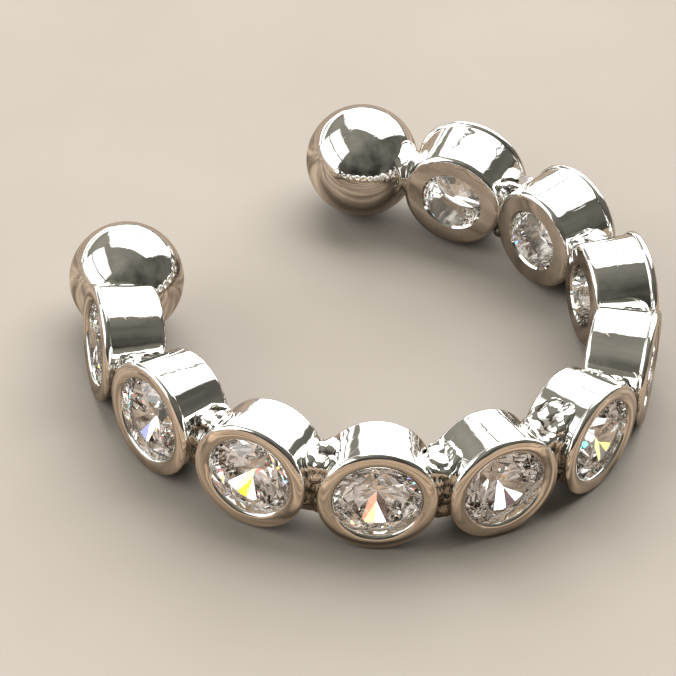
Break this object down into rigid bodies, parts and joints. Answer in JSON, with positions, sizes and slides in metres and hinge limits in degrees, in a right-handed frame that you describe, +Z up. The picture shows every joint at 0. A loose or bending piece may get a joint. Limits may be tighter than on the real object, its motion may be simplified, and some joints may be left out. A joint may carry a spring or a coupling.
{
  "type": "ear cuff",
  "caption": "Open ring ear cuff: round bezel cups with clear brilliant stones facing outwards, joined by short bars, with a polished ball at each end.",
  "frame": {"origin": "middle of the cuff's footprint, on the surface that it lies on", "axes": "+Z up through the open ring, +Y out through the gap between the balls, +X across the ring"},
  "size_m": [0.0144, 0.0142, 0.003],
  "materials": {
    "polished_silver": "mirror polished, with fine handling scratches",
    "clear_stone": "faceted and polished, colourless"
  },
  "bodies": {
    "root": {"silver_frame": "polished_silver", "stone_01": "clear_stone", "stone_02": "clear_stone", "stone_03": "clear_stone", "stone_04": "clear_stone", "stone_05": "clear_stone", "stone_06": "clear_stone", "stone_07": "clear_stone", "stone_08": "clear_stone", "stone_09": "clear_stone", "stone_10": "clear_stone"}
  },
  "joints": []
}
